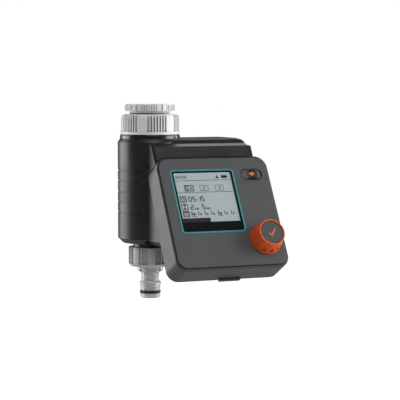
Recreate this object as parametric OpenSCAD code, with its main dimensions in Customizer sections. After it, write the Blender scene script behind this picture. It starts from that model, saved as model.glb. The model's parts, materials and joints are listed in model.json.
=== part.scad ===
// Tap-mounted drip irrigation timer: a vertical water valve with a leaning, removable control unit.
// The origin is at the mouth of the tap thread, on the valve's axis. +Z is up and the panel faces -Y.

/* [Valve column] */
// Radius of the valve cylinder
cylinder_r = 25.8; // [25:0.1:27]
// Depth of the cylinder's top edge below the tap thread's mouth
cylinder_top = 27.4; // [27:0.1:28]
// Height of the valve cylinder
cylinder_h = 83.1; // [82:0.1:84]
// Bevel round the cylinder's lower edge
low_bevel = 4; // [2:0.5:5]
// Wall thickness of the mouldings
wall = 2.2; // [2:0.1:2.4]
// Number of grip grooves
grip_count = 5; // [3:1:6]
// Distance between grip grooves
grip_pitch = 8.3; // [7:0.1:9]
// Half of the angle that the grip grooves cover
grip_angle = 50; // [30:1:60]

/* [Tap side] */
// Largest radius of the union nut's ribs
nut_r = 23.2; // [22.5:0.1:23.6]
// Height of the union nut
nut_h = 15.9; // [15.5:0.1:16]
// Radius of the adapter's knurled ring
adapter_r = 20; // [19:0.5:21]
// Height of the adapter's knurled ring
adapter_h = 5.3; // [4.5:0.1:5.5]
// Radius of the larger union thread, inch size 1
union_thread_r = 16.5; // [16.4:0.05:16.6]
// Radius of the tap thread's bore, inch size 3/4
tap_thread_r = 13.25; // [13.22:0.01:13.3]

/* [Hose side] */
// Radius of the male outlet thread, inch size 3/4
outlet_thread_r = 13.16; // [13.1:0.01:13.2]
// Largest radius of the hose connector's nut
connector_r = 17.4; // [16.5:0.1:18]
// Height of the hose connector's nut
connector_h = 15.8; // [14:0.1:16]
// Radius of the catch ridge on the hose spigot
ridge_r = 8.7; // [8.6:0.05:8.8]

/* [Control unit] */
// Width of the control unit
unit_w = 96; // [94:0.5:98]
// Height of the control unit along its leaning front
unit_h = 96; // [94:0.5:97]
// Thickness of the control unit at its top edge
unit_top_d = 19; // [18:0.5:20]
// Thickness of the control unit at its bottom edge
unit_low_d = 23.2; // [22.5:0.1:24]
// Angle that the front leans back from upright
lean = 29; // [28.5:0.1:29.5]
// Radius of the control unit's upper corners
top_corner_r = 10.5; // [9:0.5:11]
// Radius of the control unit's lower corners
low_corner_r = 9; // [8:0.5:10]
// Rounding of the control unit's front edge
edge_r = 2.6; // [2:0.1:3]

/* [Front] */
// Width of the inset front plate
plate_w = 92.4; // [91:0.1:93]
// Height of the inset front plate
plate_h = 92.2; // [91:0.1:93]
// Gap round the front plate
plate_gap = 0.65; // [0.3:0.05:0.8]
// Side of the square display frame
display_side = 53.9; // [52:0.1:55]
// Width of the manual button
button_w = 17.2; // [16:0.1:18]
// Height of the manual button
button_h = 7.8; // [7:0.1:8.5]

/* [Dial] */
// Radius of the dial at its base
dial_low_r = 13.3; // [12.5:0.1:13.5]
// Radius of the dial at its rim
dial_top_r = 10.6; // [10.4:0.1:11.5]
// Height of the dial above the front plate
dial_h = 13.3; // [12.5:0.1:14]
// Number of dimples round the dial
dimple_count = 12; // [10:1:16]

/* [Housing box] */
// Distance of the box's left wall from the valve axis
box_left = 11; // [10.6:0.1:12]
// Distance of the box's right wall from the valve axis
box_right = 74; // [72:0.5:75]
// Distance of the box's rear wall behind the valve axis
box_rear = 21; // [20:0.5:22]

/* [Hidden] */
$fn = 64;

// Past the face of a cut, so that it runs clear
over = 1;
// Clearance between pieces that are fixed together
snug = 0.1;
// Running clearance of a shaft in its bore
run = 0.08;
// Clearance between faces that move past each other
free = 0.3;

nut_top_z = -8;
nut_low_z = nut_top_z - nut_h;
cylinder_low_z = -cylinder_top - cylinder_h;
inlet_tube_r = 12.4;
inlet_face_z = -14.6;
inlet_flange_h = 2.4;
outlet_collar_r = 13.6;
connector_top_z = -114;
connector_low_z = connector_top_z - connector_h;
thread_low_z = -125.4;
gasket_h = 1.5;
bore_r = 8;

// The valve's chamber lies across the column, at the height of the solenoid
chamber_z = -66;
chamber_r = 16;
chamber_face_x = 14.8;
seat_x = 12.2;
seat_r = 7.5;
piston_r = 8.8;
piston_h = 3.8;
piston_travel = 2.5;
bonnet_x = 16.2;
bonnet_h = 5.8;
tube_r = 4.4;
tube_end_x = 41;
plunger_r = 3.7;
plunger_x = 22.6;
plunger_len = 13;
coil_x = 22.6;
coil_len = 17;
coil_r = 10.5;
frame_half = 11.6;

// The middle of the front plate's face
panel_x = 36;
panel_y = -61.3;
panel_z = -82.45;
unit_mid_d = (unit_top_d + unit_low_d) / 2;
back_tilt = atan((unit_low_d - unit_top_d) / unit_h);
shell_front_z = -0.3;
plate_t = 2;
plate_corner_cut = 1.8;
plate_edge_r = 0.6;
back_t = 2;
corner_in = 9;
head_sink = 1.4;
boss_shift = 0.5;
boss_hole_r = 1.6;
seal_t = 0.8;
board_z = -8.6;
board_t = 1.6;
switch_h = 1.6;
press_travel = 0.8;
cap_top = dial_h - 0.25;
button_top = 0.9;
button_low = -1.6;
dial_x = 30.8;
dial_y = -24.85;
button_x = 31.4;
button_y = 30.85;
display_x = -10.85;
display_y = 9.2;
window_side = display_side - 2.4;
latch_x = 2.85;
latch_w = 17.9;
latch_travel = 1.6;
plug_x = -14;
plug_y = 8;
plug_w = 20;
plug_h = 11;

// The battery's middle, seen from the front, and its size
cell_x = 21;
cell_y = 21;
cell_w = 26.5;
cell_h = 48.5;
cell_d = 17.5;

hood_y = 57.75;
hood_set = 2.2;
tray_y = 48.4;
foot_in = 5;
tray_low_y = -31.25;
tray_back = 30.5;
cover_x = 49;
cover_z = -69;
cover_w = 46;
cover_h = 68;
cover_t = 2;

// A point of the housing's side view, [y, z], at a height up the panel and a distance in front of it
function panel_point(up, out) = [
    panel_y + up * sin(lean) - out * cos(lean),
    panel_z + up * cos(lean) + out * sin(lean)
];
// How far in front of the panel the control unit's rear face is, at a height up the panel
function back_at(up) = -unit_mid_d + up * tan(back_tilt);
// Height up the panel at which a line at the given distance in front of it reaches the height z
function up_at(z, out) = (z - panel_z - out * sin(lean)) / cos(lean);

// Places children in the panel's frame: x right, y up the panel, z out of it
module on_panel() {
    translate([panel_x, panel_y, panel_z]) rotate([90 - lean, 0, 0]) children();
}

// Places children in the frame of the control unit's rear face, with z towards the front
module on_back() {
    on_panel() translate([0, 0, -unit_mid_d]) rotate([back_tilt, 0, 0]) children();
}

// Places children with their z axis along +X, at the valve chamber's height
module on_chamber(x) {
    translate([x, 0, chamber_z]) rotate([0, 90, 0]) children();
}

module tube(outer, inner, h) {
    difference() {
        cylinder(r = outer, h = h);
        translate([0, 0, -over]) cylinder(r = inner, h = h + 2 * over);
    }
}

module block(size) {
    translate([-size[0] / 2, -size[1] / 2, 0]) cube(size);
}

// A rectangle with its own radius for the upper and the lower corners
module rounded(w, h, top_r, low_r) {
    for (side = [-1, 1]) {
        translate([side * (w / 2 - top_r), h / 2 - top_r]) circle(r = top_r);
        translate([side * (w / 2 - low_r), -h / 2 + low_r]) circle(r = low_r);
    }
    translate([-w / 2 + top_r, -h / 2 + low_r]) square([w - 2 * top_r, h - low_r]);
    translate([-w / 2 + low_r, -h / 2]) square([w - 2 * low_r, h - top_r]);
    translate([-w / 2, -h / 2 + low_r]) square([w, h - top_r - low_r]);
}

// A slot shape with round ends
module stadium(w, h) {
    for (side = [-1, 1]) translate([side * (w - h) / 2, 0]) circle(d = h);
    square([w - h, h], center = true);
}

// The section of a rounded front edge: reach wide, d deep, with the rounding at its outer top
module edge_section(reach, d, round_r) {
    translate([0, -d]) square([reach - round_r, d]);
    translate([0, -d]) square([reach, d - round_r]);
    translate([reach - round_r, -round_r]) circle(r = round_r);
}

// A rounded slab whose front face is at z = 0, with its front edge rounded all the way
module slab(w, h, d, top_r, low_r, round_r) {
    reach = min(top_r, low_r);
    for (side = [0, 1]) mirror([side, 0, 0]) {
        translate([w / 2 - top_r, h / 2 - top_r, 0])
            rotate_extrude(angle = 90) edge_section(top_r, d, round_r);
        translate([w / 2 - low_r, -h / 2 + low_r, 0])
            rotate([0, 0, -90]) rotate_extrude(angle = 90) edge_section(low_r, d, round_r);
        translate([w / 2 - reach, h / 2 - top_r, 0])
            rotate([90, 0, 0]) linear_extrude(h - top_r - low_r) edge_section(reach, d, round_r);
    }
    translate([-w / 2 + top_r, h / 2 - reach, 0]) rotate([90, 0, 90])
        linear_extrude(w - 2 * top_r) edge_section(reach, d, round_r);
    translate([w / 2 - low_r, -h / 2 + reach, 0]) rotate([90, 0, -90])
        linear_extrude(w - 2 * low_r) edge_section(reach, d, round_r);
    translate([0, 0, -d]) linear_extrude(d)
        rounded(w - 2 * round_r, h - 2 * round_r, top_r - round_r, low_r - round_r);
}

// A coil spring from z = 0 to z = len
module coil(r, wire_r, turns, len) {
    sides = 6;
    steps = 12 * turns;
    points = [
        for (i = [0 : steps], j = [0 : sides - 1])
            let (turn = 360 * turns * i / steps, round = 360 * j / sides, reach = r + wire_r * cos(round))
            [reach * cos(turn), reach * sin(turn),
             wire_r + (len - 2 * wire_r) * i / steps + wire_r * sin(round)]
    ];
    side_faces = [
        for (i = [0 : steps - 1], j = [0 : sides - 1], half = [0, 1])
            let (a = i * sides + j, b = i * sides + (j + 1) % sides)
            half == 0 ? [a, a + sides, b] : [b, a + sides, b + sides]
    ];
    first = [for (j = [0 : sides - 1]) j];
    last = [for (j = [sides - 1 : -1 : 0]) steps * sides + j];
    polyhedron(points, concat([first], side_faces, [last]));
}

// A pan-head screw standing on z = 0, with its shank going down and a cross in its head
module screw(head_r, head_h, shank_r, shank_len) {
    difference() {
        union() {
            cylinder(r = head_r, h = head_h);
            translate([0, 0, -shank_len]) cylinder(r = shank_r, h = shank_len + head_h / 2);
        }
        for (turn = [0, 90]) rotate([0, 0, turn]) translate([0, 0, head_h / 2])
            block([1.3 * head_r, head_r / 3, head_h]);
    }
}

// Ring of slots cut into a ribbed nut: each group has slots side by side, and smooth lobes between groups
module slots(r, depth, low_z, h, groups, per_group, pitch, width, offset_angle) {
    for (group = [0 : groups - 1], i = [0 : per_group - 1]) {
        middle = (per_group - 1) / 2;
        end_slot = abs(i - middle) == middle;
        w = end_slot ? 1.35 * width : width;
        rotate([0, 0, offset_angle + group * 360 / groups + (i - middle) * pitch])
            translate([r - depth, -w / 2, low_z]) cube([depth + over, w, h]);
    }
}

// ---- Valve housing ----

// The box's side view, set in from the outside by the given thickness
module box_side(in) {
    top = -cylinder_top - in;
    low = cylinder_low_z + in;
    front = hood_set + in;
    floor_gap = free + in;
    back_line = -tray_back + in;
    polygon([
        [box_rear - in, top],
        [-14, top],
        [-22.5 + in / 2, top - 1],
        [-25.2 + in, top - 3.7],
        panel_point(hood_y - in, -front),
        panel_point(tray_y + in, -front),
        panel_point(tray_y + in, back_at(tray_y) - floor_gap),
        panel_point(tray_low_y + in, back_at(tray_low_y) - floor_gap),
        panel_point(tray_low_y + in, back_line),
        panel_point(up_at(low, back_line), back_line),
        [box_rear - in, low]
    ]);
}

// A prism of the box's side view between two distances along X
module box_prism(left, right, in) {
    translate([left, 0, 0]) rotate([90, 0, 90]) linear_extrude(right - left) box_side(in);
}

// The space of the control unit in its tray, grown by the given amount
module unit_pocket(grow) {
    on_back() translate([0, 0, -free - grow]) block([
        unit_w + 0.8 + 2 * grow, 2 * tray_y + 2 * grow, unit_low_d + 2 * grow
    ]);
}

// The tray's foot under the box starts further in than the box's left wall
module foot_end(grow) {
    translate([-box_left - over, -80, cylinder_low_z - 30]) cube([foot_in + over + grow, 60, 30 + grow]);
}

// Fills the tray's left end round the unit's rounded upper corner
module tray_cheek() {
    corner_x = unit_w / 2 - top_corner_r;
    corner_y = unit_h / 2 - top_corner_r;
    left = panel_x + box_left - snug / 2;
    depth = -back_at(tray_y) + free + 1 - hood_set;
    on_panel() translate([0, 0, -hood_set - depth]) linear_extrude(depth - snug / 2) difference() {
        translate([-left, corner_y + 0.5]) square([left - corner_x, tray_y + 0.5 - corner_y]);
        translate([-corner_x, corner_y]) circle(r = top_corner_r + free);
    }
}

// Bevels along the front edge of the box's left end, above the hood and down its front
module hood_end_bevels(side) {
    translate([-box_left, -25.2, -cylinder_top - 4]) rotate([0, 0, 45])
        translate([-0.8 * side, -0.8 * side, 0]) cube([1.6 * side, 1.6 * side, 20]);
    on_panel() translate([-panel_x - box_left, 0, -hood_set]) rotate([0, 45, 0])
        cube([side, 200, side], center = true);
}

module column(r, top_z, low_z, bevel) {
    rotate_extrude() polygon([
        [0, top_z], [r - 1.9, top_z], [r, top_z - 2.7],
        [r, low_z + bevel], [r - bevel, low_z], [0, low_z]
    ]);
}

module grip_grooves() {
    depth = 0.7;
    width = 1.2;
    for (i = [0 : grip_count - 1]) translate([0, 0, -52.8 - i * grip_pitch]) {
        rotate([0, 0, 180 - grip_angle]) rotate_extrude(angle = 2 * grip_angle)
            translate([cylinder_r - depth, -width / 2]) square([depth + over, width]);
        for (end = [-1, 1]) rotate([0, 0, 180 + end * grip_angle])
            translate([cylinder_r - 1.4 * depth, 0, 0]) rotate([0, 90, 0])
                cylinder(d = 1.4 * width, h = depth + over);
    }
}

// Step in the right wall above the hood, and bevels along the box's right and rear edges
module box_trim(side) {
    top_right = box_right - 2.2;
    hood_top_z = panel_point(hood_y, -hood_set)[1];
    translate([top_right, -60, hood_top_z]) cube([10, 120, 20]);
    for (edge = [[top_right, -cylinder_top], [box_right, cylinder_low_z]])
        translate([edge[0], 0, edge[1]]) rotate([0, 45, 0])
            cube([side, 120, side], center = true);
    for (z = [-cylinder_top, cylinder_low_z]) translate([box_right, box_rear, z])
        rotate([45, 0, 0]) cube([2 * (box_right - cylinder_r), side, side], center = true);
    translate([box_right, box_rear, -70]) rotate([0, 0, 45])
        cube([side, side, 120], center = true);
}

module at_cover_corners() {
    for (x = [-1, 1], z = [-1, 1])
        translate([cover_x + x * (cover_w / 2 - 4), box_rear, cover_z + z * (cover_h / 2 - 4)])
            rotate([-90, 0, 0]) children();
}

module valve_housing() {
    color([0.2, 0.19, 0.18]) difference() {
        union() {
            difference() {
                column(cylinder_r, -cylinder_top, cylinder_low_z, low_bevel);
                unit_pocket(0);
            }
            difference() {
                union() {
                    box_prism(-box_left, box_right, 0);
                    tray_cheek();
                }
                hood_end_bevels(2.6);
            }
        }
        // Inside of the column and of the box
        difference() {
            translate([0, 0, cylinder_low_z + wall])
                cylinder(r = cylinder_r - wall, h = cylinder_h - wall - 3);
            unit_pocket(wall);
        }
        difference() {
            box_prism(-box_left + wall, box_right - 2 * wall, wall);
            foot_end(wall);
        }
        foot_end(0);
        // Room for the battery box in the right wall, which is thicker for the step above the hood
        on_back() translate([cell_x, cell_y, -cell_d - wall - 2.3])
            block([cell_w + 3, cell_h + 3, cell_d + 1.8]);
        // Mouth for the valve body, closed by the collar
        translate([0, 0, -cylinder_top - 4]) cylinder(r = 21.2, h = 4 + over);
        translate([0, 0, cylinder_low_z - over]) cylinder(r = outlet_collar_r + free, h = wall + 2 * over);
        // Rear window under the cover, and the holes for its screws
        translate([cover_x, box_rear + over, cover_z]) rotate([90, 0, 0])
            block([cover_w - 16, cover_h - 6, wall + 2 * over]);
        at_cover_corners() translate([0, 0, -wall - over]) cylinder(r = 1.2, h = wall + 2 * over);
        // Openings in the tray: the plug, the battery and the latch hook
        on_back() {
            translate([plug_x, plug_y, -wall - over]) block([plug_w + 1, plug_h + 1, wall + 2 * over]);
            translate([cell_x, cell_y, -wall - over])
                block([cell_w + 1, cell_h + 0.6, wall + 2 * over]);
            translate([latch_x, -26, -wall - over]) block([14, 8, wall + 2 * over]);
        }
        // Bevel under the left wall, in line with the column's
        translate([-box_left, -19 - 30, cylinder_low_z]) rotate([0, 45, 0])
            cube([low_bevel * 1.3, 60, low_bevel * 1.3], center = true);
        box_trim(4);
        grip_grooves();
    }
}

module rear_cover() {
    color([0.17, 0.165, 0.16]) difference() {
        union() {
            translate([cover_x, box_rear + cover_t, cover_z]) rotate([90, 0, 0])
                linear_extrude(cover_t - snug / 2) rounded(cover_w, cover_h, 4, 4);
            translate([cover_x, box_rear + cover_t / 2, cover_z]) rotate([90, 0, 0])
                block([cover_w - 17, cover_h - 7, cover_t / 2 + wall]);
        }
        at_cover_corners() translate([0, 0, -over]) cylinder(r = 1.7, h = cover_t + 2 * over);
        // Hollow of the plug-in lip
        translate([cover_x, box_rear, cover_z]) rotate([90, 0, 0])
            block([cover_w - 21, cover_h - 11, wall + over]);
    }
}

module cover_screws() {
    color([0.6, 0.6, 0.6]) at_cover_corners() translate([0, 0, cover_t]) screw(2.6, 1.5, 1.15, 6);
}

// Glossy ring that closes the column's mouth and carries the valve body
module inlet_collar() {
    color([0.07, 0.07, 0.07]) rotate_extrude() difference() {
        union() {
            translate([inlet_tube_r + snug / 2, -27.3]) square([23.9 - inlet_tube_r, 3.1]);
            translate([inlet_tube_r + snug / 2, -31]) square([21 - inlet_tube_r, 3.8]);
        }
        translate([23.9, -24.2]) circle(r = 0.6);
    }
}

// ---- Valve ----

module valve_body() {
    color([0.08, 0.08, 0.08]) difference() {
        union() {
            // Inlet tube with the flange that the union nut pulls up
            translate([0, 0, -56]) cylinder(r = inlet_tube_r, h = 56 + inlet_face_z);
            translate([0, 0, inlet_face_z - inlet_flange_h]) cylinder(r = 14.9, h = inlet_flange_h);
            translate([0, 0, -34]) cylinder(r = 20, h = 2.9);
            // Chamber across the column
            on_chamber(-13) cylinder(r = chamber_r, h = 13 + chamber_face_x);
            // Outlet tube, its collar and its thread
            translate([0, 0, -118]) cylinder(r = 11.5, h = 50);
            translate([0, 0, connector_top_z + free]) cylinder(r = outlet_collar_r, h = 4);
            translate([0, 0, thread_low_z]) cylinder(r = outlet_thread_r, h = 12);
        }
        translate([0, 0, -47]) cylinder(r = bore_r, h = 47);
        translate([3.5, 0, -60]) cylinder(r = 4.2, h = 20);
        // Ring chamber round the valve seat
        on_chamber(-1) difference() {
            cylinder(r = chamber_r - wall, h = 20);
            translate([0, 0, -over]) cylinder(r = seat_r, h = seat_x + over + 1);
        }
        on_chamber(-9) cylinder(r = 5.5, h = 30);
        translate([-7.5, 0, -96]) cylinder(r = 4.2, h = 96 + chamber_z);
        translate([0, 0, thread_low_z - over]) cylinder(r = bore_r, h = 35);
        bonnet_holes(8);
    }
}

// Four screw holes through the chamber's rim
module bonnet_holes(depth) {
    for (turn = [45 : 90 : 315]) on_chamber(chamber_face_x - depth) rotate([0, 0, turn])
        translate([14.2, 0, 0]) cylinder(r = 0.9, h = depth + 12);
}

module inlet_filter() {
    slit_count = 12;
    color([0.75, 0.76, 0.74]) difference() {
        union() {
            translate([0, 0, inlet_face_z + snug / 2]) tube(14.5, 6.6, 0.65);
            translate([0, 0, -30]) tube(7.6, 6.8, 30 + inlet_face_z + snug);
            translate([0, 0, -30]) cylinder(r = 7.6, h = 0.8);
        }
        for (i = [0 : slit_count - 1]) rotate([0, 0, i * 360 / slit_count])
            translate([6, -0.6, -28.5]) cube([3, 1.2, 12]);
    }
}

module inlet_washer() {
    color([0.12, 0.12, 0.12]) translate([0, 0, inlet_face_z + 0.75]) tube(16.1, 9, 1.5);
}

module outlet_seal() {
    color([0.05, 0.05, 0.05]) translate([0, 0, cylinder_low_z + wall + 1]) rotate_extrude()
        translate([12.6, 0]) circle(r = 1);
}

module diaphragm() {
    color([0.1, 0.1, 0.1]) difference() {
        on_chamber(chamber_face_x + snug / 2) tube(chamber_r, 9.2, bonnet_x - chamber_face_x - snug);
        bonnet_holes(1);
    }
}

module bonnet() {
    color([0.11, 0.11, 0.11]) difference() {
        union() {
            on_chamber(bonnet_x) cylinder(r = chamber_r, h = bonnet_h);
            on_chamber(bonnet_x) cylinder(r = tube_r, h = tube_end_x - bonnet_x);
        }
        on_chamber(bonnet_x - over) cylinder(r = 11, h = 4.2 + over);
        on_chamber(bonnet_x) cylinder(r = plunger_r + run, h = tube_end_x - bonnet_x - 1.2);
        bonnet_holes(1);
    }
}

module bonnet_screws() {
    color([0.65, 0.65, 0.66]) for (turn = [45 : 90 : 315]) on_chamber(bonnet_x + bonnet_h)
        rotate([0, 0, turn]) translate([14.2, 0, 0]) screw(1.6, 1.2, 0.85, 12);
}

module solenoid_coil() {
    color([0.35, 0.2, 0.1]) difference() {
        union() {
            on_chamber(coil_x) tube(coil_r, tube_r + snug, coil_len);
            translate([coil_x + 3, -coil_r - 1.5, chamber_z - 4]) cube([11, 4, 8]);
        }
        on_chamber(coil_x - over) cylinder(r = tube_r + snug, h = coil_len + 2 * over);
    }
}

module solenoid_frame() {
    t = 1.3;
    color([0.7, 0.7, 0.68]) difference() {
        translate([coil_x - 0.2, -6, chamber_z - frame_half - t])
            cube([coil_len + 0.4 + t, 12, 2 * (frame_half + t)]);
        translate([coil_x - 0.2 - over, -6 - over, chamber_z - frame_half])
            cube([coil_len + 0.4 + over, 12 + 2 * over, 2 * frame_half]);
        on_chamber(coil_x) cylinder(r = tube_r + snug, h = 30);
    }
}

// Two stiff leads from the coil's terminals to the contact block
module solenoid_leads() {
    color([0.7, 0.1, 0.1]) for (side = [-1, 1]) {
        lead([28 + 3 * side, -12.8, chamber_z - 1], [22 + 4 * side, -28.3, -81.2]);
    }
}

// A straight length of lead between two points
module lead(from, to) {
    d = to - from;
    len = norm(d);
    translate(from) rotate([0, acos(d[2] / len), atan2(d[1], d[0])]) cylinder(r = 0.6, h = len);
}

module contact_block() {
    color([0.13, 0.13, 0.13]) on_back() difference() {
        translate([plug_x, plug_y, -13]) block([plug_w + 5, plug_h + 5, 13 - wall - 0.4]);
        translate([plug_x, plug_y, -9]) block([plug_w + 1, plug_h + 1, 10]);
    }
}

module battery_box() {
    t = 1;
    color([0.16, 0.16, 0.16]) on_back() difference() {
        translate([cell_x, cell_y, -cell_d - wall - 2]) block([
            cell_w + 2 * t + 0.4, cell_h + 2 * t + 0.4, cell_d + 1.5
        ]);
        translate([cell_x, cell_y, -cell_d - wall - 2 + t])
            block([cell_w + 0.4, cell_h + 0.4, cell_d + 2]);
    }
}

module battery() {
    color([0.55, 0.56, 0.6]) on_back() translate([cell_x, cell_y - 0.8, -cell_d - wall - 0.8])
        linear_extrude(cell_d) rounded(cell_w, cell_h - 2.2, 2, 2);
}

module battery_contacts() {
    color([0.8, 0.75, 0.5]) on_back() for (side = [-1, 1])
        translate([cell_x + side * 6.4, cell_y + cell_h / 2 - 1.1, -cell_d / 2 - wall])
            rotate([90, 0, 0]) translate([0, 0, -0.7]) cylinder(r = 3, h = 1.5);
}

module valve_piston() {
    color([0.85, 0.85, 0.82]) on_chamber(seat_x + snug / 2) difference() {
        cylinder(r = piston_r, h = piston_h);
        translate([0, 0, piston_h - 1.6]) tube(6.2, 4.4, 2);
    }
}

module piston_spring() {
    color([0.75, 0.75, 0.75]) on_chamber(seat_x + piston_h - 1.4) coil(5.3, 0.35, 3, 5.6);
}

module plunger() {
    color([0.72, 0.72, 0.72]) on_chamber(plunger_x) cylinder(r = plunger_r, h = plunger_len);
}

module plunger_spring() {
    color([0.75, 0.75, 0.75]) on_chamber(plunger_x + plunger_len) coil(2.4, 0.3, 3, 4);
}

// ---- Tap side ----

module union_nut() {
    shoulder = 3;
    rim_r = nut_r + 0.5;
    color([0.83, 0.83, 0.83]) difference() {
        rotate_extrude() difference() {
            union() {
                translate([0, nut_low_z]) square([nut_r, nut_h - shoulder]);
                translate([0, nut_low_z]) square([nut_r - shoulder, nut_h]);
                translate([nut_r - shoulder, nut_top_z - shoulder]) circle(r = shoulder);
                translate([0, nut_low_z]) square([rim_r, 2.1]);
            }
            // Bore: the thread above, and the lip under the valve body's flange below
            translate([-over, nut_low_z - over]) square([inlet_tube_r + run + over, nut_h + 2 * over]);
            translate([-over, inlet_face_z - inlet_flange_h - snug])
                square([union_thread_r + run + over, 20]);
        }
        slots(nut_r, 1.5, nut_low_z + 2.3, nut_h, 6, 7, 5.9, 1.25, -38);
    }
}

module tap_washer() {
    color([0.1, 0.1, 0.1]) translate([0, 0, -10.35]) tube(tap_thread_r + 0.25, 8.6, 1.5);
}

module inlet_adapter() {
    neck_low_z = -12.2;
    notch_angle = 60;
    color([0.85, 0.85, 0.85]) difference() {
        union() {
            rotate_extrude() {
                translate([0, -adapter_h]) square([adapter_r, adapter_h - 1.5]);
                translate([0, -adapter_h]) square([adapter_r - 1.5, adapter_h]);
                translate([adapter_r - 1.5, -1.5]) circle(r = 1.5);
            }
            translate([0, 0, neck_low_z]) cylinder(r = union_thread_r, h = -neck_low_z - over);
        }
        translate([0, 0, -8.8]) cylinder(r = tap_thread_r, h = 8.8 + over);
        translate([0, 0, -10.4]) cylinder(r = tap_thread_r + 0.35, h = 1.6);
        translate([0, 0, neck_low_z - over]) cylinder(r = 8.5, h = 3);
        // A deep notch every sixth of a turn, with fine knurling between the notches
        for (i = [0 : 5]) rotate([0, 0, -114 + 30 + i * notch_angle])
            translate([adapter_r - 1.2, -1, -adapter_h - over]) cube([3, 2, adapter_h + 2 * over]);
        slots(adapter_r, 0.5, -adapter_h - over, adapter_h + 2 * over, 6, 7, 5.5, 0.8, -114);
    }
}

// ---- Hose side ----

module connector_gasket() {
    color([0.08, 0.08, 0.08]) translate([0, 0, thread_low_z - gasket_h - 0.05])
        tube(outlet_thread_r + 0.26, 8.4, gasket_h);
}

module connector_nut() {
    round_r = 3.5;
    seat_low_z = thread_low_z - gasket_h - 0.1;
    color([0.55, 0.55, 0.55]) difference() {
        rotate_extrude() difference() {
            union() {
                translate([0, connector_low_z + round_r]) square([connector_r, connector_h - round_r]);
                translate([0, connector_low_z]) square([connector_r - round_r, connector_h]);
                translate([connector_r - round_r, connector_low_z + round_r]) circle(r = round_r);
            }
            translate([-over, connector_low_z - over]) square([9 + over, connector_h + 2 * over]);
            translate([-over, thread_low_z]) square([outlet_thread_r + run + over, 20]);
            translate([-over, seat_low_z]) square([outlet_thread_r + 0.36 + over, 1.7]);
            translate([connector_r + 0.6, connector_top_z + 0.6]) rotate(45) square(2, center = true);
        }
        slots(connector_r, 1.7, connector_low_z + 2.6, 11.5 + 8, 8, 3, 9, 1.9, -86);
    }
}

module connector_spigot() {
    top_z = thread_low_z - gasket_h - 0.15;
    color([0.75, 0.75, 0.75]) difference() {
        rotate_extrude() polygon([
            [5.5, top_z], [8.95, top_z], [8.95, connector_low_z - snug / 2],
            [10.2, connector_low_z - snug / 2], [10.2, -133.2], [7.9, -134.6], [7.2, -135.4],
            [7.2, -141.8], [ridge_r, -142.4], [ridge_r, -145], [8.1, -145.6], [8.1, -149],
            [6.3, -149], [6.3, -151.7], [8.2, -151.7], [8.2, -154], [7, -155.2], [5.5, -155.2]
        ]);
        // Notches beside the two grip wings
        for (turn = [0 : 90 : 270]) rotate([0, 0, turn + 22]) translate([9, -2, -134.8])
            cube([3, 4, 4.4]);
    }
}

module spigot_oring() {
    color([0.04, 0.04, 0.04]) rotate_extrude() translate([7.45, -150.35]) circle(r = 1.12);
}

// ---- Control unit ----

// Everything behind the control unit's rear face
module behind_unit() {
    translate([0, 0, -unit_mid_d]) rotate([back_tilt, 0, 0])
        translate([-unit_w, -unit_h, -40]) cube([2 * unit_w, 2 * unit_h, 40]);
}

module at_unit_corners(in) {
    for (x = [-1, 1], y = [-1, 1]) translate([x * (unit_w / 2 - in), y * (unit_h / 2 - in), 0])
        children();
}

// Where the four slightly slanting screws pass the board and the shell's bosses
module at_bosses() {
    translate([0, -boss_shift, 0]) at_unit_corners(corner_in) children();
}

// Screw bosses in the shell's corners
module shell_bosses() {
    difference() {
        union() {
            at_bosses() translate([0, 0, board_z + 0.1]) cylinder(r = 3.4, h = 4.6);
            at_unit_corners(corner_in - 3.2) translate([0, 0, board_z + 0.1]) block([5, 5, 4.6]);
        }
        at_bosses() translate([0, 0, board_z - over]) cylinder(r = boss_hole_r, h = 8);
    }
}

// Places children on the seats of the four rear screws, deeper where the unit is thicker
module at_screw_seats() {
    for (x = [-1, 1], y = [-1, 1]) translate([
        x * (unit_w / 2 - corner_in), y * (unit_h / 2 - corner_in),
        y > 0 ? head_sink : head_sink + unit_low_d - unit_top_d - 0.8
    ]) children();
}

module control_shell() {
    color([0.27, 0.26, 0.26]) on_panel() shell_bosses();
    color([0.27, 0.26, 0.26]) on_panel() difference() {
        translate([0, 0, shell_front_z])
            slab(unit_w, unit_h, 26, top_corner_r, low_corner_r, edge_r);
        // Recess of the front plate and the window behind it
        translate([0, 0, -plate_t - seal_t - snug]) linear_extrude(5) rounded(
            plate_w + 2 * plate_gap, plate_h + 2 * plate_gap,
            top_corner_r - plate_corner_cut + plate_gap, low_corner_r - plate_corner_cut + plate_gap
        );
        translate([0, 0, -5]) linear_extrude(5) rounded(plate_w - 4, plate_h - 4, 6, 5);
        translate([0, 0, -40]) linear_extrude(36) rounded(
            unit_w - 2 * wall, unit_h - 2 * wall, top_corner_r - wall, low_corner_r - wall
        );
        behind_unit();
        // Slot for the latch's tab
        translate([0, 0, -unit_mid_d]) rotate([back_tilt, 0, 0])
            translate([latch_x, -unit_h / 2, 0]) block([latch_w + 0.8, 8, 3.5]);
    }
}

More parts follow.
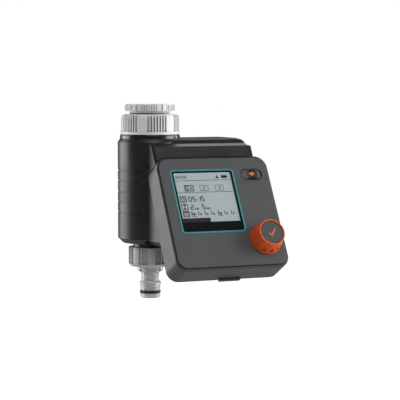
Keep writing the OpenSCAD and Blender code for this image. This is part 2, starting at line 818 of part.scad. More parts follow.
module control_back() {
    color([0.2, 0.2, 0.2]) on_back() difference() {
        union() {
            translate([0, 0, 0.05]) linear_extrude(back_t) rounded(
                unit_w - 2 * wall - 0.6, unit_h - 2 * wall - 0.6,
                top_corner_r - wall - 0.3, low_corner_r - wall - 0.3
            );
            // Plug that reaches into the tray, screw posts, and the latch spring's stop
            translate([plug_x, plug_y, -6]) block([plug_w, plug_h, 6.5]);
            at_unit_corners(corner_in) cylinder(r = 4, h = 7.4);
            translate([latch_x, -17, 1]) block([8, 1.5, 4.5]);
        }
        at_screw_seats() {
            translate([0, 0, -10]) cylinder(r = boss_hole_r, h = 30);
            translate([0, 0, -10]) cylinder(r = 2.9, h = 10);
        }
        translate([latch_x, -26, -over]) block([13, 8.6, 5]);
        translate([latch_x, -unit_h / 2 + 3, -over]) block([latch_w + 1, 8, 6]);
        for (side = [-1, 1]) translate([plug_x + side * 5, plug_y, -7]) cylinder(r = 1.1, h = 12);
    }
}

module control_seal() {
    color([0.05, 0.05, 0.05]) on_panel() translate([0, 0, -plate_t - seal_t - snug / 2])
        linear_extrude(seal_t) difference() {
            rounded(plate_w - 0.2, plate_h - 0.2, 8, 7);
            rounded(plate_w - 3.6, plate_h - 3.6, 6, 5);
        }
}

module control_screws() {
    color([0.6, 0.6, 0.6]) on_back() at_screw_seats()
        mirror([0, 0, 1]) screw(2.7, 1.3, 1.3, 13.4);
}

module contact_pins() {
    color([0.85, 0.7, 0.35]) on_back() for (side = [-1, 1])
        translate([plug_x + side * 5, plug_y, -8.9]) cylinder(r = 1, h = 13);
}

module front_plate() {
    color([0.33, 0.34, 0.34]) on_panel() difference() {
        slab(
            plate_w, plate_h, plate_t,
            top_corner_r - plate_corner_cut, low_corner_r - plate_corner_cut, plate_edge_r
        );
        translate([display_x, display_y, -plate_t - over]) linear_extrude(plate_t + 2 * over)
            rounded(display_side + 0.1, display_side + 0.1, 3, 3);
        translate([button_x, button_y, -plate_t - over]) linear_extrude(plate_t + 2 * over)
            stadium(button_w + 2.1, button_h + 2.1);
        translate([dial_x, dial_y, -plate_t - over]) cylinder(r = 6.4, h = plate_t + 2 * over);
    }
}

module display_frame() {
    color([0.13, 0.5, 0.54]) on_panel() translate([display_x, display_y, -plate_t])
        linear_extrude(plate_t + 0.15) difference() {
            rounded(display_side, display_side, 3, 3);
            rounded(window_side + 0.1, window_side + 0.1, 1.8, 1.8);
        }
}

module display_window() {
    color([0.1, 0.1, 0.11]) on_panel() translate([display_x, display_y, -1.4])
        linear_extrude(1.45) rounded(window_side, window_side, 1.8, 1.8);
}

module lcd_panel() {
    color([0.65, 0.7, 0.7]) on_panel() translate([display_x, display_y + 3, -4.3])
        block([50, 44, 2.7]);
}

module lcd_carrier() {
    color([0.8, 0.8, 0.78]) on_panel() difference() {
        translate([display_x, display_y, board_z + 0.05]) block([58, 55.4, 4.2]);
        translate([display_x, display_y, board_z - over]) block([46, 44, 8]);
        for (side = [-1, 1]) translate([display_x, display_y + side * 24.4, board_z - over])
            block([42, 2.6, 8]);
        at_bosses() translate([0, 0, board_z - over]) cylinder(r = 3.8, h = 8);
    }
}

module lcd_strips() {
    color([0.25, 0.25, 0.3]) on_panel() for (side = [-1, 1])
        translate([display_x, display_y + side * 24.4, board_z + 0.05]) block([40, 2.2, 4.2]);
}

module main_board() {
    color([0.08, 0.3, 0.15]) on_panel() difference() {
        translate([0, 0, board_z - board_t]) linear_extrude(board_t) rounded(87, 87, 5, 5);
        at_bosses() translate([0, 0, board_z - 3]) cylinder(r = boss_hole_r, h = 6);
    }
}

module board_parts() {
    under_z = board_z - board_t - 0.05;
    color([0.1, 0.1, 0.1]) on_panel() {
        translate([-12, -10, under_z - 1.6]) block([12, 12, 1.6]);
        translate([-30, 12, under_z - 5]) cylinder(r = 5, h = 5);
        translate([6, 12, under_z - 3.4]) cylinder(r = 3.2, h = 3.4);
        translate([8, -12, under_z - 1.4]) block([8, 3.4, 1.4]);
        for (i = [0 : 4]) translate([-34 + i * 4, -26, under_z - 0.9]) block([2, 1.2, 0.9]);
    }
}

module touch_switches() {
    color([0.75, 0.75, 0.75]) on_panel() for (p = [[dial_x, dial_y], [button_x, button_y]])
        translate([p[0], p[1], board_z + 0.05]) {
            block([4.2, 4.2, switch_h - 0.3]);
            cylinder(r = 1.5, h = switch_h);
        }
}

// Body of the rotary encoder, open in the middle for the cap's stem
module encoder_body() {
    color([0.15, 0.3, 0.2]) on_panel() translate([dial_x, dial_y, board_z + 0.05]) difference() {
        union() {
            block([14, 14, 4]);
            cylinder(r = 3.4, h = 15.6);
        }
        translate([0, 0, -over]) block([4.6, 4.6, 3.4]);
        translate([0, 0, -over]) cylinder(r = 2.2, h = 20);
    }
}

module dial_hub() {
    color([0.9, 0.9, 0.88]) on_panel() translate([dial_x, dial_y, 0]) union() {
        translate([0, 0, -4.2]) tube(5.2, 3.4 + run, 10.2);
        translate([0, 0, -4.2]) tube(6, 3.4 + run, 1.2);
    }
}

module dial_ring() {
    foot = 0.35;
    web_z = 4;
    dimple_z = 5.2;
    dimple_r = dial_low_r + (dial_top_r - dial_low_r) * dimple_z / dial_h + 0.35;
    color([0.86, 0.31, 0.11]) on_panel() translate([dial_x, dial_y, 0]) difference() {
        translate([0, 0, foot]) cylinder(r1 = dial_low_r, r2 = dial_top_r, h = dial_h - foot);
        // Room for the cap above the web, and the hollow below it
        translate([0, 0, web_z + 2]) cylinder(r = 9.6, h = dial_h);
        difference() {
            translate([0, 0, -over]) cylinder(r = 10.2, h = web_z + over);
            cylinder(r = 5.25 + over, h = dial_h);
        }
        translate([0, 0, -over]) cylinder(r = 5.25, h = dial_h + 2 * over);
        // Slanting dimples low on the side
        for (i = [0 : dimple_count - 1]) rotate([0, 0, i * 360 / dimple_count])
            translate([dimple_r, 0, dimple_z]) rotate([24, -5, 0])
                cylinder(r = 1.25, h = 4.6, center = true);
    }
}

module ok_cap() {
    color([0.3, 0.3, 0.31]) on_panel() translate([dial_x, dial_y, 0]) union() {
        translate([0, 0, dial_h - 3.3]) cylinder(r = 9.3, h = 2.8);
        translate([0, 0, dial_h - 0.5]) cylinder(r1 = 9.3, r2 = 9.1, h = cap_top - dial_h + 0.5);
        translate([0, 0, board_z + switch_h + press_travel + 0.2])
            cylinder(r = 2.12, h = dial_h - 3 - board_z - switch_h - press_travel);
    }
}

// Tick mark set into the cap
module ok_tick() {
    t = 1.2;
    color([0.93, 0.46, 0.33]) on_panel() translate([dial_x, dial_y, cap_top + 0.05])
        rotate([0, 0, 6]) linear_extrude(0.2) {
            translate([-0.9, -2.6]) rotate(52) translate([0, -t / 2]) square([7, t]);
            translate([-0.9, -2.6]) rotate(135) translate([-t / 2, -t / 2]) square([3.4, t]);
        }
}

module ok_spring() {
    color([0.75, 0.75, 0.75]) on_panel() translate([dial_x, dial_y, board_z + 15.75])
        coil(2.85, 0.3, 3, dial_h - 3.4 - board_z - 15.75);
}

// Domed symbol with a handle to the left and a short tail below, grown by the given amount
module symbol(grow) {
    translate([0.9, 0.35]) circle(r = 1.55 + grow);
    translate([-0.4, 0.45]) circle(r = 1.25 + grow);
    translate([-2.4 - grow, -0.3 - grow]) square([2 + 2 * grow, 1.2 + 2 * grow]);
    translate([-0.75 - grow, -1.9 - grow]) square([1.3 + 2 * grow, 2 + 2 * grow]);
}

module manual_button() {
    dome_r = 24;
    color([0.07, 0.07, 0.07]) on_panel() translate([button_x, button_y, 0]) difference() {
        union() {
            intersection() {
                translate([0, 0, button_low]) linear_extrude(4) stadium(button_w, button_h);
                translate([0, -10, button_top - dome_r]) rotate([-90, 0, 0])
                    cylinder(r = dome_r, h = 20, $fn = 128);
            }
            translate([0, 0, board_z + switch_h + press_travel + 0.2])
                cylinder(r = 1.5, h = button_low - board_z - switch_h - press_travel);
        }
        translate([0, 0, button_top - 0.6]) linear_extrude(1) symbol(0.03);
    }
}

// Symbol set into the button
module button_symbol() {
    color([0.93, 0.35, 0.13]) on_panel() translate([button_x, button_y, button_top - 0.55])
        linear_extrude(0.62) symbol(0);
}

module button_surround() {
    color([0.05, 0.05, 0.05]) on_panel() translate([button_x, button_y, -4.6]) difference() {
        linear_extrude(4.55) stadium(button_w + 2, button_h + 2);
        translate([0, 0, 0.8]) linear_extrude(6) stadium(button_w + 0.6, button_h + 0.6);
        translate([0, 0, -over]) cylinder(r = 1.6, h = 4);
    }
}

module button_spring() {
    color([0.75, 0.75, 0.75]) on_panel() translate([button_x, button_y, -3.75])
        coil(2.6, 0.2, 2, button_low + 3.7);
}

module release_latch() {
    plate_z = back_t + 0.4;
    color([0.16, 0.16, 0.16]) on_back() union() {
        translate([latch_x, -unit_h / 2 + 0.75, 0.5]) block([latch_w, 4.9, 2.6]);
        translate([latch_x, -34.8, plate_z]) block([11, 21.6, 1.6]);
        // Hook that reaches through the back into the tray
        translate([latch_x, -26.2, -4]) block([11, 1.6, 7]);
        translate([latch_x, -27.5, -4]) block([11, 2.8, 1.1]);
    }
}

module latch_spring() {
    color([0.75, 0.75, 0.75]) on_back() translate([latch_x, -23.9, back_t + 1.5])
        rotate([-90, 0, 0]) coil(1.3, 0.25, 4, 6);
}

valve_housing();
rear_cover();
cover_screws();
inlet_collar();
valve_body();
inlet_filter();
inlet_washer();
outlet_seal();
diaphragm();
bonnet();
bonnet_screws();
solenoid_coil();
solenoid_frame();
solenoid_leads();
contact_block();
battery_box();
battery();
battery_contacts();
valve_piston();
piston_spring();
plunger();
plunger_spring();
union_nut();
tap_washer();
inlet_adapter();
connector_gasket();
connector_nut();
connector_spigot();
spigot_oring();
control_shell();
control_back();
control_seal();
control_screws();
contact_pins();
front_plate();
display_frame();
display_window();
lcd_panel();
lcd_carrier();
lcd_strips();
main_board();
board_parts();
touch_switches();
encoder_body();
button_surround();
dial_ring();
dial_hub();
ok_cap();
ok_tick();
ok_spring();
manual_button();
button_symbol();
button_spring();
release_latch();
latch_spring();
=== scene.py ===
"""Looks of the tap-mounted irrigation timer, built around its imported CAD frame.

Lengths are in metres. Outlines on the slanted panel are in millimetres, in the panel's own frame.
"""
import json
import math

import bmesh
import bpy
from mathutils import Matrix, Vector


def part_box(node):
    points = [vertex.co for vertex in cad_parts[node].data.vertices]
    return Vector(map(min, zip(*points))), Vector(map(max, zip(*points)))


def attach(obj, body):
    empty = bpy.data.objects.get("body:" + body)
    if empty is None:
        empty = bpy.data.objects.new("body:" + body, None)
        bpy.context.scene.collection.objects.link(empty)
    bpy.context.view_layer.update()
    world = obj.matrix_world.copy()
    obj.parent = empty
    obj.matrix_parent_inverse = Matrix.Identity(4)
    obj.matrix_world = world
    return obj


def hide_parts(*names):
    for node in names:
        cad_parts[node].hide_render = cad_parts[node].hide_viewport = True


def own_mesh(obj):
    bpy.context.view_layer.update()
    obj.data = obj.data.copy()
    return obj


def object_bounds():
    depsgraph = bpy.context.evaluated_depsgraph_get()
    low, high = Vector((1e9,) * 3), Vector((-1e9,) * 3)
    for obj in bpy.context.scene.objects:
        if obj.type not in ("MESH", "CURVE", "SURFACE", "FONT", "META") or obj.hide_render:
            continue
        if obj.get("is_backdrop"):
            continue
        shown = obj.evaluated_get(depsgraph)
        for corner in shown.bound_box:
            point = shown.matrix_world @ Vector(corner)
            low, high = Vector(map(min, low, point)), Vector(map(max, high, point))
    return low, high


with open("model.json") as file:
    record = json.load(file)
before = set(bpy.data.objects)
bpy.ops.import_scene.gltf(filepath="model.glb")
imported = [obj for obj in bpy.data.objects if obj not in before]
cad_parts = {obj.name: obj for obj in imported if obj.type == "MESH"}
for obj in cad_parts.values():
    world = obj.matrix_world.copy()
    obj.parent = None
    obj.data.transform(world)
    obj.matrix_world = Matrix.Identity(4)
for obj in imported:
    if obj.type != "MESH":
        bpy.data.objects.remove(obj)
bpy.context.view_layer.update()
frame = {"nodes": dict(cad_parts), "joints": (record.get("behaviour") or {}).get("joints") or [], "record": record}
MM = 0.001

# ---- Places taken from the frame ----


def joint(name):
    return next(j for j in frame["joints"] if j["name"] == name)


def middle(node):
    low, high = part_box(node)
    return (low + high) / 2


def body_of(node):
    return next(body for body, nodes in frame["record"]["behaviour"]["bodies"].items() if node in nodes)


# The panel's frame is x right, y up the slanted face and z out of it.
# It starts over the front plate's middle, level with the window's outer face.
RIGHT = Vector((1, 0, 0))
OUT = Vector(joint("control_unit_pull")["axis"]).normalized()
UP = OUT.cross(RIGHT).normalized()
WINDOW_HALF_THICKNESS = 0.675 * MM
to_window = middle("display_window") - middle("front_plate")
PANEL = Matrix((RIGHT, UP, OUT)).transposed().to_4x4()
PANEL.translation = middle("front_plate") + OUT * (to_window.dot(OUT) + WINDOW_HALF_THICKNESS)
PANEL_INVERSE = PANEL.inverted()


def on_panel(node):
    """A node's middle in the panel's frame, in millimetres."""
    return (PANEL_INVERSE @ middle(node)) / MM


# ---- Shader nodes ----

SHADER_SAMPLES = 6


def shader(name):
    """A new material, with its node tree and its main shader."""
    material = bpy.data.materials.new(name)
    material.use_nodes = True
    tree = material.node_tree
    return material, tree, tree.nodes["Principled BSDF"]


def add(tree, kind, **values):
    """A shader node. A lower-case name sets a property; any other sets a socket, or links it to a socket."""
    node = tree.nodes.new("ShaderNode" + kind)
    for name, value in values.items():
        if name.islower():
            setattr(node, name, value)
            continue
        socket = node.inputs[name.replace("_", " ")]
        if isinstance(value, bpy.types.NodeSocket):
            tree.links.new(value, socket)
        else:
            socket.default_value = value
    return node


def remap(tree, value, from_low, from_high, to_low, to_high):
    """value, mapped from one range onto another and held inside it."""
    node = add(
        tree, "MapRange", Value=value, From_Min=from_low, From_Max=from_high, To_Min=to_low, To_Max=to_high
    )
    return node.outputs["Result"]


def noise(tree, scale, detail=3.0, stretch=(1, 1, 1)):
    """Noise over the object's own coordinates; scale is in repeats per metre."""
    coords = add(tree, "TexCoord")
    mapping = add(tree, "Mapping", Vector=coords.outputs["Object"], Scale=stretch)
    return add(tree, "TexNoise", Vector=mapping.outputs["Vector"], Scale=scale, Detail=detail).outputs["Fac"]


def spread(tree, fac, low, high):
    """Maps the middle of a noise's range onto low to high."""
    return remap(tree, fac, 0.3, 0.7, low, high)


def opaque(colour, times=1, plus=0):
    """A colour with every part scaled and lifted, as red, green, blue and alpha."""
    return (*[min(1, part * times + plus) for part in colour], 1)


def mixed(tree, fac, a, b):
    return add(tree, "Mix", data_type="RGBA", Factor=fac, A=a, B=b).outputs["Result"]


def tinted(tree, fac, colour, low, high):
    """The colour, made darker and lighter with fac."""
    return mixed(tree, fac, opaque(colour, low), opaque(colour, high))


def rounded_normal(tree, radius, samples=SHADER_SAMPLES):
    """The surface's normal, as if its edges were rounded."""
    return add(tree, "Bevel", samples=samples, Radius=radius).outputs["Normal"]


def edge_mask(tree, radius):
    """1 along convex and concave edges within the radius, 0 on flat faces."""
    geometry = add(tree, "NewGeometry")
    dot = add(tree, "VectorMath", operation="DOT_PRODUCT")
    tree.links.new(rounded_normal(tree, radius), dot.inputs[0])
    tree.links.new(geometry.outputs["Normal"], dot.inputs[1])
    return remap(tree, dot.outputs["Value"], 0.97, 0.8, 0, 1)


def painted_recess_shade(tree, colour, reach, darkest):
    """The colour, darkened in narrow gaps and slots as painted shade."""
    # Painted shade: ambient occlusion darkens the colour itself in narrow gaps and slots
    occlusion = add(tree, "AmbientOcclusion", samples=SHADER_SAMPLES, Distance=reach)
    depth = remap(tree, occlusion.outputs["AO"], 0.3, 0.7, darkest, 1)
    shaded = add(tree, "VectorMath", operation="SCALE", Scale=depth)
    tree.links.new(colour, shaded.inputs[0])
    return shaded.outputs["Vector"]


def relief(tree, bsdf, height, strength, depth, normal=None):
    """Fine bumps, over the surface's own normal or the one given."""
    bump = add(tree, "Bump", Strength=strength, Distance=depth, Height=height)
    if normal:
        tree.links.new(normal, bump.inputs["Normal"])
    tree.links.new(bump.outputs["Normal"], bsdf.inputs["Normal"])


def set_surface(tree, bsdf, colour, roughness, **values):
    """Links the colour and the roughness, and sets the main shader's other sockets by name."""
    tree.links.new(colour, bsdf.inputs["Base Color"])
    tree.links.new(roughness, bsdf.inputs["Roughness"])
    for name, value in values.items():
        bsdf.inputs[name.replace("_", " ")].default_value = value


# ---- Kinds of material ----

CLOUD_SCALE = 55
ROUND_EDGE = 0.3 * MM
WORN_EDGE = 0.35 * MM
GRAIN_DEPTH = 0.05 * MM
COAT_ROUGHNESS = 0.2


def plastic(
    name,
    colour,
    roughness,
    grain=2600,
    bump=0.12,
    wear=0.25,
    shade=0.35,
    reach=2.0,
    gloss=0.5,
    coat=0.0,
    clear=0.0,
):
    """Moulded plastic: fine spark-eroded grain, rounded edges, cloudy gloss, slightly rubbed edges and painted
    shade in narrow gaps.

    grain is in repeats per metre. shade is how dark the painted shade in narrow gaps gets, and reach how wide, in
    millimetres.
    """
    material, tree, bsdf = shader(name)
    cloud = noise(tree, CLOUD_SCALE, 4)
    base = tinted(tree, cloud, colour, 0.9, 1.1)
    if wear:
        amount = add(tree, "Math", operation="MULTIPLY")
        tree.links.new(edge_mask(tree, WORN_EDGE), amount.inputs[0])
        amount.inputs[1].default_value = wear
        base = mixed(tree, amount.outputs["Value"], base, opaque(colour, 1.5, 0.03))
    set_surface(
        tree,
        bsdf,
        # painted shade: the colour is darkened in narrow gaps and slots
        painted_recess_shade(tree, base, reach * MM, shade),
        spread(tree, cloud, roughness * 0.88, roughness * 1.12),
        Specular_IOR_Level=gloss,
        Coat_Weight=coat,
        Coat_Roughness=COAT_ROUGHNESS,
        Transmission_Weight=clear,
    )
    relief(tree, bsdf, noise(tree, grain, 2), bump, GRAIN_DEPTH, rounded_normal(tree, ROUND_EDGE))
    return material


def metal(name, colour, roughness, scratch=(1, 1, 12), scale=900):
    """Plated metal with fine drawn scratches and cloudy tarnish."""
    material, tree, bsdf = shader(name)
    lines = noise(tree, scale, 4, scratch)
    tarnish = tinted(tree, noise(tree, 120, 3), colour, 0.75, 1.1)
    set_surface(tree, bsdf, tarnish, spread(tree, lines, roughness * 0.8, roughness * 1.3), Metallic=1)
    relief(tree, bsdf, lines, 0.15, 0.03 * MM, rounded_normal(tree, 0.15 * MM, samples=4))
    return material


def rubber(name, colour):
    """Matt rubber with a powdery bloom."""
    material, tree, bsdf = shader(name)
    bloom = noise(tree, 400, 5)
    set_surface(tree, bsdf, tinted(tree, bloom, colour, 0.7, 1.5), spread(tree, bloom, 0.42, 0.62))
    relief(tree, bsdf, noise(tree, 3000, 2), 0.1, 0.04 * MM)
    return material


def glass(name, colour, alpha):
    """Clear polished lens: mostly see-through, with a faint smear in its gloss."""
    material, tree, bsdf = shader(name)
    smear = noise(tree, 90, 4)
    base = tinted(tree, smear, colour, 0.8, 1.2)
    set_surface(tree, bsdf, base, spread(tree, smear, 0.06, 0.1), Alpha=alpha)
    return material


def lcd(name, colour):
    """Reflective liquid-crystal face: an even pale blue-grey, with faint rows in its gloss, brightened by a faint
    painted glow in its own colour.
    """
    material, tree, bsdf = shader(name)
    rows = noise(tree, 1500, 2, (1, 0.2, 0.2))
    face = tinted(tree, noise(tree, 40, 2), colour, 0.95, 1.05)
    gloss = spread(tree, rows, 0.4, 0.55)
    # painted light: a faint glow in the face's own colour brightens it
    set_surface(tree, bsdf, face, gloss, Emission_Color=(*colour, 1), Emission_Strength=0.07)
    return material


# ---- Materials by slot, and those of the display's own pieces ----

MATERIALS = {
    "dark_shell": plastic("housing_plastic", (0.0115, 0.01, 0.0095), 0.36, bump=0.18, gloss=0.68),
    "unit_shell": plastic("unit_plastic", (0.05, 0.047, 0.046), 0.42, bump=0.18, shade=0.08, gloss=0.85),
    "front_grey": plastic("front_plastic", (0.077, 0.0805, 0.083), 0.5, grain=3200, shade=0.25, reach=1.5),
    "gloss_black": plastic("collar_plastic", (0.008, 0.008, 0.008), 0.24, bump=0.04, coat=0.6),
    "pale_grey": plastic("pale_plastic", (0.9, 0.9, 0.895), 0.3, bump=0.1, shade=0.12, reach=1.9),
    "mid_grey": plastic("nut_plastic", (0.62, 0.617, 0.61), 0.2, bump=0.08, shade=0.25, reach=1.6),
    "clear_grey": plastic("spigot_plastic", (0.74, 0.74, 0.735), 0.2, bump=0.05, clear=0.5, shade=0.8),
    "rubber_black": rubber("rubber", (0.012, 0.012, 0.012)),
    "teal": plastic("teal_inlay", (0.055, 0.34, 0.38), 0.3, bump=0.05, wear=0),
    "window_black": plastic("window_print", (0.014, 0.014, 0.017), 0.2, bump=0.03, wear=0),
    "lcd_glass": lcd("lcd_face", (0.7, 0.8, 0.83)),
    "carrier_white": plastic("carrier_plastic", (0.6, 0.6, 0.57), 0.45),
    "strip_rubber": rubber("strip_rubber", (0.06, 0.06, 0.08)),
    "board_green": plastic("solder_mask", (0.02, 0.12, 0.05), 0.3, grain=1500, bump=0.1),
    "chip_black": plastic("chip_plastic", (0.02, 0.02, 0.02), 0.5, bump=0.2),
    "steel": metal("steel", (0.55, 0.55, 0.56), 0.32),
    "contact_gold": metal("contact_gold", (0.83, 0.6, 0.28), 0.28),
    "orange": plastic("orange_plastic", (1.0, 0.13, 0.012), 0.36, bump=0.1, wear=0.12),
    "cap_grey": plastic("cap_plastic", (0.07, 0.071, 0.074), 0.5, grain=3200, bump=0.15),
    "coral": plastic("coral_inlay", (0.8, 0.19, 0.085), 0.35, bump=0.05, wear=0),
    "button_black": plastic("button_plastic", (0.012, 0.012, 0.012), 0.3, bump=0.04, coat=0.05),
    "coil_copper": metal("winding", (0.55, 0.22, 0.08), 0.42, (12, 1, 1), 2200),
    "lead_red": rubber("lead_red", (0.4, 0.02, 0.02)),
    "cell": metal("cell_sleeve", (0.3, 0.31, 0.34), 0.4),
    "white_nylon": plastic("nylon", (0.75, 0.75, 0.72), 0.45),
    "lens": glass("lens", (0.02, 0.02, 0.022), 0.12),
    "lcd_ink": plastic("lcd_ink", (0.035, 0.04, 0.045), 0.45, bump=0.02, wear=0),
    "lcd_faint_ink": plastic("lcd_faint_ink", (0.4, 0.46, 0.48), 0.45, bump=0.02, wear=0),
}
SLOT_OF = {part["node"]: part["material_slot"] for part in frame["record"]["subparts"]}
for node_name, node_object in frame["nodes"].items():
    node_object.data.materials.clear()
    node_object.data.materials.append(MATERIALS[SLOT_OF[node_name]])

# ---- Meshes and pieces ----


def mesh_of(name, bm):
    """Turns a bmesh into a mesh and frees it."""
    mesh = bpy.data.meshes.new(name)
    bm.to_mesh(mesh)
    bm.free()
    return mesh


def show(name, mesh, slot_name, body, material=None, smooth=None):
    """Shows a mesh as a piece that rides on a body and takes a slot's finish.

    Its material is the slot's unless another is named. smooth is the sharpest angle that is shaded smooth.
    """
    mesh.materials.clear()
    mesh.materials.append(MATERIALS[material or slot_name])
    if smooth is not None:
        mesh.polygons.foreach_set("use_smooth", [True] * len(mesh.polygons))
        mesh.set_sharp_from_angle(angle=math.radians(smooth))
    obj = bpy.data.objects.new(name, mesh)
    bpy.context.scene.collection.objects.link(obj)
    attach(obj, body)
    return obj


def show_for(node, name, mesh, smooth=None):
    """Shows a mesh in place of a CAD node, with its body and its slot."""
    obj = show(name, mesh, SLOT_OF[node], body_of(node), smooth=smooth)
    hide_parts(node)
    return obj


def rings_on_panel(bm, outlines, levels):
    """Points of each outline at each level above the panel, in millimetres."""
    return [
        [bm.verts.new(PANEL @ (Vector((x, y, level)) * MM)) for x, y in outline]
        for outline in outlines
        for level in levels
    ]


def walls(bm, a, b):
    """The faces between two rings of as many points."""
    for i in range(len(a)):
        j = (i + 1) % len(a)
        bm.faces.new((a[i], a[j], b[j], b[i]))


def prism(bm, outline, low, high):
    """An outline on the panel, raised from low to high out of it."""
    bottom, top = rings_on_panel(bm, [outline], (low, high))
    bm.faces.new(list(reversed(bottom)))
    bm.faces.new(top)
    walls(bm, bottom, top)


def framed(bm, outer, inner, low, high):
    """A flat frame between two outlines of as many points."""
    outer_low, outer_high, inner_low, inner_high = rings_on_panel(bm, (outer, inner), (low, high))
    walls(bm, outer_low, outer_high)
    walls(bm, outer_high, inner_high)
    walls(bm, inner_high, inner_low)
    walls(bm, inner_low, outer_low)


def rect(x0, y0, x1, y1):
    return [(x0, y0), (x1, y0), (x1, y1), (x0, y1)]


def disc(x, y, r, count):
    turns = [2 * math.pi * i / count for i in range(count)]
    return [(x + r * math.cos(a), y + r * math.sin(a)) for a in turns]


def rounded_outline(x, y, half_w, half_h, r, steps=8):
    """A rounded rectangle about x, y, counter-clockwise, with the same number of points for any size."""
    points = []
    for side_x, side_y, start in ((1, 1, 0), (-1, 1, 90), (-1, -1, 180), (1, -1, 270)):
        corner_x = x + side_x * (half_w - r)
        corner_y = y + side_y * (half_h - r)
        for i in range(steps + 1):
            a = math.radians(start + 90 * i / steps)
            points.append((corner_x + r * math.cos(a), corner_y + r * math.sin(a)))
    return points


def stroke(p, q, width):
    """A bar of the given width from p to q."""
    along = Vector((q[0] - p[0], q[1] - p[1])).normalized()
    side = Vector((-along.y, along.x)) * width / 2
    ends = (Vector(p) - side, Vector(q) - side, Vector(q) + side, Vector(p) + side)
    return [(v.x, v.y) for v in ends]


def outline_box(x0, y0, x1, y1, width):
    """The four bars of a rectangular outline."""
    return [
        rect(x0, y0, x1, y0 + width),
        rect(x0, y1 - width, x1, y1),
        rect(x0, y0 + width, x0 + width, y1 - width),
        rect(x1 - width, y0 + width, x1, y1 - width),
    ]


def circle_line(x, y, r, width, count=16):
    """The short bars of a thin circle."""
    points = disc(x, y, r, count)
    return [stroke(points[i], points[(i + 1) % count], width) for i in range(count)]


# ---- Screw threads ----

TAP_PITCH = 1.814 * MM
UNION_PITCH = 2.309 * MM
TAP_BORE_R = 13.25 * MM
OUTLET_R = 13.16 * MM
UNION_R = 16.5 * MM
TAP_DEPTH = 1.1 * MM
UNION_DEPTH = 1.3 * MM
COLUMNS = 96
ROWS_A_TURN = 14
MOST_TILT = 0.2
RADIUS_SLACK = 0.02 * MM
THREAD_SMOOTH = 32


def flank_at(phase):
    """How far down a thread is from its crest, from 0 to 1, at a share of its pitch.

    It is level on the crest and in the root, and straight between them.
    """
    return min(1, max(0, 1.5 * abs(2 * phase - 1) - 0.25))


def helical_grid(bm, radius, pitch, depth, inward, low, high):
    """A thread's surface round Z; it runs out into the plain cylinder at both ends."""
    rows = math.ceil((high - low) / pitch * ROWS_A_TURN)
    grid = []
    for row in range(rows + 1):
        z = low + (high - low) * row / rows
        fade = min(1, (z - low) / pitch, (high - z) / pitch)
        ring = []
        for column in range(COLUMNS):
            a = 2 * math.pi * column / COLUMNS
            flank = flank_at((z / pitch - column / COLUMNS) % 1)
            r = radius - depth * fade * (1 - flank if inward else flank)
            ring.append(bm.verts.new((r * math.cos(a), r * math.sin(a), z)))
        grid.append(ring)
    for lower, upper in zip(grid, grid[1:]):
        for i in range(COLUMNS):
            j = (i + 1) % COLUMNS
            face = bm.faces.new((lower[i], lower[j], upper[j], upper[i]))
            if inward:
                face.normal_flip()


def on_cylinder(face, radius):
    """Whether a face belongs to the plain cylinder of that radius round Z."""
    upright = abs(face.normal.z) < MOST_TILT
    return upright and all(abs(v.co.xy.length - radius) < RADIUS_SLACK for v in face.verts)


def threaded(node, *threads):
    """A copy of a node with screw threads in place of its plain cylinders round Z.

    Each thread is its cylinder's radius, its pitch, its depth and whether it stands inward in a bore.
    """
    bm = bmesh.new()
    bm.from_mesh(frame["nodes"][node].data)
    for radius, pitch, depth, inward in threads:
        plain = [face for face in bm.faces if on_cylinder(face, radius)]
        heights = [v.co.z for face in plain for v in face.verts]
        bmesh.ops.delete(bm, geom=plain, context="FACES")
        helical_grid(bm, radius, pitch, depth, inward, min(heights), max(heights))
    name = node + "_threaded"
    show_for(node, name, mesh_of(name, bm), smooth=THREAD_SMOOTH)


union_neck = (UNION_R, UNION_PITCH, UNION_DEPTH, False)
tap_bore = (TAP_BORE_R, TAP_PITCH, TAP_DEPTH, True)
outlet = (OUTLET_R, TAP_PITCH, TAP_DEPTH, False)
threaded("inlet_adapter", union_neck, tap_bore)
threaded("valve_body", outlet)

# ---- Coil springs ----

JOINT_OF_SPRING = {
    "ok_spring": "ok_press",
    "button_spring": "manual_press",
    "latch_spring": "latch_press",
    "plunger_spring": "plunger_pull",
    "piston_spring": "piston_lift",
}


def squeezed_spring(node):
    """A copy of a spring, shown in its place with a mesh of its own."""
    source = frame["nodes"][node].data
    obj = show_for(node, node + "_coil", source.copy())
    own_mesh(obj)


for spring, spring_joint in JOINT_OF_SPRING.items():
    squeezed_spring(spring)

# ---- Marks on the display, in the panel's millimetres ----

LINE_ENDS = (-35.4, 12.9)
ICON_SIDES = (-33.8, -28.2)
ICON_LINE = 0.6
ICON_X = -31.0
BIG_DIGIT = {"w": 2.3, "h": 3.8, "width": 0.7}
FIRST_DAY_X = -26.6
DAY_STEP = 5.6
DIGIT_INSET = 0.12
CHOSEN_DAYS = (0, 4)
OTHER_DAYS = (1, 2, 3, 5, 6)
SEGMENTS = {"0": "abcdef", "1": "bc", "2": "abged", "3": "abgcd", "5": "afgcd"}


def digit(value, x, y, w, h, width):
    """The bars of a seven-segment figure whose lower left corner is at x, y."""
    ends = {
        "a": ((0, h), (w, h)), "g": ((0, h / 2), (w, h / 2)), "d": ((0, 0), (w, 0)),
        "f": ((0, h / 2), (0, h)), "b": ((w, h / 2), (w, h)),
        "e": ((0, 0), (0, h / 2)), "c": ((w, 0), (w, h / 2)),
    }
    bars = []
    for name in SEGMENTS[value]:
        p, q = (Vector(end) for end in ends[name])
        inset = (q - p).normalized() * width * DIGIT_INSET
        start, stop = p + inset, q - inset
        bars.append(stroke((x + start.x, y + start.y), (x + stop.x, y + stop.y), width))
    return bars


def icon_box(low, high):
    return outline_box(ICON_SIDES[0], low, ICON_SIDES[1], high, ICON_LINE)


